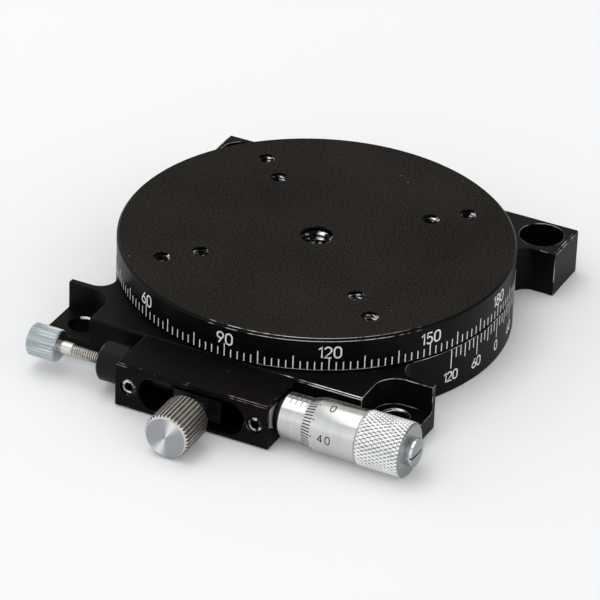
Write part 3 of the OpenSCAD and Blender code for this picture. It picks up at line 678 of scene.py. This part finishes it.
SCREW_INSET, SCREW_R, SEAT_Z = 30, 2.25, 3.5    # the base's screw holes and their seats


def bright_rims(bm):
    """Wide breaks at the two front screw holes, bright metal on their far side as a painted
    glint.
    """
    for x in (-SCREW_INSET, SCREW_INSET):
        centre = Vector((x, -SCREW_INSET))
        rim = [e for e in bm.edges
               if all(abs(v.co.z / MM - SEAT_Z) < 0.05
                      and abs((v.co.xy / MM - centre).length - SCREW_R) < 0.08
                      for v in e.verts)]
        made = bmesh.ops.bevel(bm, geom=rim, offset=0.3 * MM, offset_type="OFFSET",
                               affect="EDGES", segments=1, profile=0.5, material=-1)
        for face in made["faces"]:
            # Only the far side is bright metal: a painted glint.
            if face.calc_center_median().y / MM > centre.y + 1.9:
                face.material_index = 2


# Edge breaks in front take the worn front edge with its painted highlight, the rest the plain
# worn edge; the far rims keep their painted glint.
softened("stage_base", "base_body", "base",
         [BASE_BLACK, BASE_EDGE, SCREW_RIM_GLINT, BASE_FRONT_EDGE_AND_GLINT], 0.09, shape=bright_rims,
         edge=lambda c, own: own if own == 2 else 3 if c.y < -20 else 1)

VERNIER_STEP = 11 / 6                # degrees: twelve marks to eleven of the dial's
vernier = []
for i in range(-12, 13):
    right = along_rim(i * VERNIER_STEP)
    drop = 3.9 if i % 6 == 0 else 2.8 if i % 3 == 0 else 2.0
    vernier.append((0.2, [(right, BASE_TOP - 0.15), (right, BASE_TOP - drop)]))
    if i % 6 == 0:
        vernier += [(0.28, s) for s in number_strokes(str(abs(i) * 10), 1.8, right,
                                                      BASE_TOP - 6.3, 0.74, 0.5)]
marks("vernier_marks", vernier, on_rim, "base", WHITE_PAINT)

# ---- Adjuster block ----------------------------------------------------------

BLOCK_END = 13.6                     # just short of the block's right end
# The planes that bound the painted lit quarter: a point, in mm, and the way to the lit side.
LIT_QUARTER_CUTS = [(Vector((0, -44.9, 3.8)), Vector((0, 0.5, 1))),
             (Vector((0, -40, 0)), Vector((0, -1, 0)))]


def machined_end(bm):
    """The upper front quarter of the block's right end, where light falls, is bright metal inside
    a narrow black margin: painted light.
    """
    cuts = [(at * MM, way) for at, way in LIT_QUARTER_CUTS]

    def end_faces(limits):
        found = [f for f in bm.faces
                 if f.normal.x > 0.99 and f.calc_center_median().x > BLOCK_END * MM]
        return [f for f in found
                if all((f.calc_center_median() - at).dot(way) > 0 for at, way in limits)]

    for at, way in cuts:
        end = end_faces([])
        around = list(dict.fromkeys(part for f in end for part in (*f.verts, *f.edges))) + end
        bmesh.ops.bisect_plane(bm, geom=around, plane_co=at, plane_no=way)
    end = end_faces(cuts)
    made = bmesh.ops.inset_region(bm, faces=end, thickness=0.42 * MM, use_even_offset=True)
    margin = set(made["faces"])
    for face in end:
        if face.is_valid and face not in margin:
            face.material_index = 2


softened("block_body", "adjuster_block", "base",
         [BLOCK_BLACK, BLOCK_EDGE, LIT_END_FACE], 0.07,
         edge=lambda c, own: 1, shape=machined_end)
softened("housing", "spring_housing", "base", [HOUSING_BLACK, BLOCK_EDGE],
         0.06, edge=lambda c, own: 1)

SET_SCREW_XS, SET_SCREW_Z = (-12.8, 11.2), 4.3


def set_screw_part(face):
    """The hexagon socket is painted dark as painted shade, the rest bright."""
    screw_x = SET_SCREW_XS[face.calc_center_median().x > 0]
    reach = max(math.hypot(v.co.x / MM - screw_x, v.co.z / MM - SET_SCREW_Z)
                for v in face.verts)
    return 1 if reach < 1.0 else 0


softened("cup_screws", "set_screws", "base",
         [SET_SCREW_STEEL, SOCKET_SHADE], 0.12, part_of=set_screw_part)

# ---- Clamp knob and lock knob ------------------------------------------------

GROOVE_R, SHANK_R = 3.9, 3.0         # a groove's bottom lies between these radii


def knob_part(face):
    """The turned faces, the grooved side and the bottoms of its grooves, painted dark as painted
    shade.
    """
    if abs(face.normal.y) > 0.9:
        return 1
    radii = [math.hypot(v.co.x / MM, v.co.z / MM - CLAMP_Z) for v in face.verts]
    grooved = min(radii) < GROOVE_R and max(radii) > SHANK_R
    return 2 if grooved and abs(face.normal.y) < 0.2 else 0


softened("grip_clamp", "clamp_knob", "clamp_grip",
         [KNOB_STEEL, KNOB_FACE_PAINTED_FANS, GROOVE_SHADE], 0.04, low_angle=30, part_of=knob_part)
softened("grip_lock", "lock_knob", "lock_grip", [LOCK_STEEL], 0.03,
         low_angle=30)

# ---- Spring and lock screw ---------------------------------------------------

coil = finish_piece("coil", as_mesh(merged_copy("plunger_spring")), "base",
                    [SCREW_STEEL], ("plunger_spring",), 40)
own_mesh(coil)

ROD_X0, ROD_X1 = (corner[0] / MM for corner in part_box("lock_screw"))
SHANK_END = -26.0                    # where the smooth shank ends and the thread begins
core = turned([(ROD_X0, 0), (ROD_X0, 1.2), (SHANK_END - 0.1, 1.2), (SHANK_END + 0.1, 0.98),
               (ROD_X1 - 0.3, 0.98), (ROD_X1, 0.8), (ROD_X1, 0)], 40)
thread = helix_ridge(0.97, 0.4, 0.23, 0.42, SHANK_END + 0.1, ROD_X1 - 0.6, "x", 24)
rod_bm = bmesh.new()
for part in (mesh_from(core), mesh_from(thread)):
    rod_bm.from_mesh(part)
    bpy.data.meshes.remove(part)
bmesh.ops.translate(rod_bm, vec=(0, AXIS_Y * MM, AXIS_Z * MM), verts=rod_bm.verts)
finish_piece("lock_rod", as_mesh(rod_bm), "lock", [ROD_STEEL],
             ("lock_screw",), 25)

# ---- Micrometer --------------------------------------------------------------

SLEEVE_R, BARREL_R, GRIP_R = 3.95, 4.65, 4.85
BEVEL_R, BORE_R, NECK_R, SCREW_HOLE_R = 4.1, 4.0, 4.5, 1.65
THIMBLE_X0, BEVEL_X1, NECK_X, GRIP_X0, GRIP_X1 = 19.4, 21.2, 29.4, 29.6, 37.8
BORE_X1 = 34.4                       # where the thimble's bore ends
TEETH, KNURL_PITCH = 40, 1.38        # ridges of one hand; their pitch along the axis
KNURL_DEPTH = 0.22
KNURL_FLANK = 0.36                   # pitches from a ridge's crest to the full depth
BARREL_STEP = 0.3                    # marks this short follow the small barrels' bend


def ridge_gap(phase):
    """0 on one family of knurling ridges, 1 well between two of them."""
    return min(1.0, abs(phase - round(phase)) / KNURL_FLANK)


def knurled_thimble():
    """The thimble's shell, spun, with crossed grooves pressed into its grip."""
    first, last = GRIP_X0 + 0.1, GRIP_X1 - 0.35
    rows = 66
    grip = [(first + (last - first) * i / rows, GRIP_R) for i in range(rows + 1)]
    profile = ([(THIMBLE_X0, BORE_R), (THIMBLE_X0, BEVEL_R), (BEVEL_X1, BARREL_R),
                (NECK_X - 0.15, BARREL_R), (NECK_X, NECK_R), (GRIP_X0, NECK_R),
                (GRIP_X0, GRIP_R - 0.1)]
               + grip + [(GRIP_X1 - 0.05, NECK_R + 0.02), (GRIP_X1, NECK_R - 0.05),
                         (GRIP_X1, SCREW_HOLE_R), (BORE_X1, SCREW_HOLE_R),
                         (BORE_X1, BORE_R), (THIMBLE_X0, BORE_R)])
    bm = turned(profile, TEETH * 6)
    for v in bm.verts:
        radius = math.hypot(v.co.y, v.co.z)
        if radius > GRIP_R - 0.01 and first - 0.01 < v.co.x < last + 0.01:
            u = math.atan2(v.co.z, v.co.y) / (2 * math.pi) * TEETH
            w = (v.co.x - first) / KNURL_PITCH
            depth = KNURL_DEPTH * min(ridge_gap(u + w), ridge_gap(u - w))
            v.co.y *= 1 - depth / radius
            v.co.z *= 1 - depth / radius
    bmesh.ops.translate(bm, vec=(0, AXIS_Y, AXIS_Z), verts=bm.verts)
    return bm


thimble = finish_piece("thimble", mesh_from(knurled_thimble()), "thimble",
                       [SATIN_CHROME, KNURL_CHROME, KNURL_PIT_SHADE, SHADED_END_FACE],
                       ("micrometer_thimble",), 24)
for polygon in thimble.data.polygons:
    middle = polygon.center / MM
    out = math.hypot(middle.y - AXIS_Y, middle.z - AXIS_Z)
    # The thimble's end face takes the darker chrome as painted shade.
    if middle.x > GRIP_X1 - 0.03:
        polygon.material_index = 3
    # Deep knurling faces take the darker pit chrome as painted shade.
    elif middle.x > GRIP_X0 + 0.1 and out > NECK_R - 0.1:
        polygon.material_index = 2 if out < GRIP_R - 0.6 * KNURL_DEPTH else 1


def thimble_r(x):
    """The thimble's radius over its bevel and its barrel."""
    slope = min(1.0, max(0.0, (x - THIMBLE_X0) / (BEVEL_X1 - THIMBLE_X0)))
    return BEVEL_R + (BARREL_R - BEVEL_R) * slope


DIVISIONS, FIRST_MARK = 50, 3.5      # marks around the thimble; the first one's degrees
NUMBER_H, NUMBER_X = 1.4, 23.9
thimble_degree = math.radians(1) * BARREL_R
thimble_marks = []
for i in range(DIVISIONS):
    up = (FIRST_MARK + 360 / DIVISIONS * i) * thimble_degree
    reach = 2.2 if i % 5 == 0 else 1.7
    thimble_marks.append((0.22, [(THIMBLE_X0 + 0.06, up), (THIMBLE_X0 + reach, up)]))
for i, text in enumerate(("40", "0", "10", "20", "30")):
    up = (FIRST_MARK + 72 * i) * thimble_degree - NUMBER_H / 2
    thimble_marks += [(0.21, s)
                      for s in number_strokes(text, NUMBER_H, NUMBER_X, up, 1.0, 0.85)]
marks("thimble_marks", thimble_marks, on_barrel(thimble_r, BARREL_R), "thimble",
      BLACK_PAINT, BARREL_STEP)

SLEEVE_X0 = 14.6                     # the sleeve's shoulder; its stem before it is painted dark, painted shade in the gap
# The stem before the shoulder takes the blackened steel as painted shade.
softened("sleeve_body", "micrometer_sleeve", "base",
         [SATIN_CHROME, DARK_STEEL], 0.04, low_angle=20,
         part_of=lambda f: 1 if f.calc_center_median().x < SLEEVE_X0 * MM else 0)

DATUM = 80                           # degrees, of the line along the sleeve
sleeve_degree = math.radians(1) * SLEEVE_R
sleeve_marks = [(0.14, [(15.2, DATUM * sleeve_degree), (25.2, DATUM * sleeve_degree)])]
for i in range(20):
    x = 15.6 + 0.5 * i
    side = DATUM + 18 if i % 2 == 0 else DATUM - 16
    sleeve_marks.append((0.12, [(x, a * sleeve_degree) for a in sorted((DATUM, side))]))
marks("sleeve_marks", sleeve_marks, on_barrel(lambda x: SLEEVE_R, SLEEVE_R), "base",
      BLACK_PAINT, BARREL_STEP)
# The cap's face takes the darker chrome as painted shade.
softened("thimble_screw", "thimble_cap", "thimble", [CAP_CHROME, SHADED_END_FACE],
         0.04, low_angle=40, part_of=lambda f: 1 if f.normal.x > 0.6 else 0)

# ---- Camera, light, floor ----------------------------------------------------

def add_camera():
    """A long lens, from the front and the right, looking down."""
    right = Vector((0.8936, 0.4478, 0.0334))
    up = Vector((-0.2568, 0.4485, 0.8561))
    back = right.cross(up).normalized()
    up = back.cross(right).normalized()
    data = bpy.data.cameras.new("camera")
    data.sensor_width = 36
    data.lens = 272.8
    data.clip_start = 0.05
    camera = link(bpy.data.objects.new("camera", data))
    basis = Matrix((right.normalized(), up, back)).transposed().to_4x4()
    basis.translation = Vector((292.7, -620.6, 414.6)) * MM
    camera.matrix_world = basis
    bpy.context.scene.camera = camera


def add_softbox():
    """One wide lamp overhead, a little to the left, aimed at the stage."""
    data = bpy.data.lights.new("overhead softbox", "AREA")
    data.shape = "RECTANGLE"
    data.size, data.size_y = 1.0, 0.50
    data.energy = 2.6
    lamp = link(bpy.data.objects.new("overhead softbox", data))
    lamp.location = (-0.22, -0.02, 0.85)
    lamp.rotation_euler = (-lamp.location).to_track_quat("-Z", "Y").to_euler()


def seen_directly(tree):
    """1 for rays from the camera and for reflected or transmitted ones."""
    path = tree.nodes.new("ShaderNodeLightPath")
    either = math_node(tree, "MAXIMUM", path.outputs["Is Camera Ray"],
                       path.outputs["Is Glossy Ray"])
    return math_node(tree, "MAXIMUM", either, path.outputs["Is Transmission Ray"])


def add_world():
    """Bright from the horizon up, dimmer at the top, and dim and warm behind."""
    world = bpy.data.worlds.new("studio")
    bpy.context.scene.world = world
    world.use_nodes = True
    tree = world.node_tree
    coords = tree.nodes.new("ShaderNodeTexCoord")
    split = tree.nodes.new("ShaderNodeSeparateXYZ")
    tree.links.new(coords.outputs["Generated"], split.inputs["Vector"])
    height = tree.nodes.new("ShaderNodeValToRGB")
    stops = height.color_ramp.elements
    for place, level in ((0.05, 1.1), (0.25, 1.3), (0.45, 1.15), (0.66, 1.05), (0.80, 0.55)):
        stop = stops.new(place)
        stop.color = (level, level, level, 1)
    stops[0].color = (0.8, 0.8, 0.8, 1)
    stops[-1].color = (0.4, 0.4, 0.4, 1)
    tree.links.new(split.outputs["Z"], height.inputs["Fac"])
    back = tree.nodes.new("ShaderNodeMapRange")
    back.inputs["From Max"].default_value = 0.9
    tree.links.new(split.outputs["Y"], back.inputs["Value"])
    shade = tree.nodes.new("ShaderNodeValToRGB")
    shade.color_ramp.elements[0].color = (0.97, 0.99, 1.02, 1)
    shade.color_ramp.elements[1].color = (0.55, 0.53, 0.48, 1)
    tree.links.new(back.outputs["Result"], shade.inputs["Fac"])
    studio = tree.nodes.new("ShaderNodeVectorMath")
    studio.operation = "MULTIPLY"
    tree.links.new(height.outputs["Color"], studio.inputs[0])
    tree.links.new(shade.outputs["Color"], studio.inputs[1])
    tree.links.new(studio.outputs["Vector"], tree.nodes["Background"].inputs["Color"])


def add_floor():
    """A wide pale floor, just under the stage, which keeps its shadow."""
    bm = bmesh.new()
    bmesh.ops.create_grid(bm, x_segments=1, y_segments=1, size=3.0)
    mesh = as_mesh(bm)
    floor = link(bpy.data.objects.new("floor", mesh))
    floor.location = (0, 0, -0.0001)
    finish = Finish("pale floor", specular=0.1)
    patch = noise_node(finish.tree, finish.vector, 4.0)
    finish.colour(patch, (0.92, 0.92, 0.92), (0.94, 0.94, 0.94))
    finish.rough(patch, 0.7, 0.8)
    finish.shader.inputs["Emission Color"].default_value = (1, 1, 1, 1)
    lift = math_node(finish.tree, "MULTIPLY", seen_directly(finish.tree), 0.04)
    finish.tree.links.new(lift, finish.shader.inputs["Emission Strength"])
    mesh.materials.append(finish.material)


add_camera()
add_world()
add_floor()
add_softbox()

view = bpy.context.scene.view_settings
view.view_transform = "Standard"
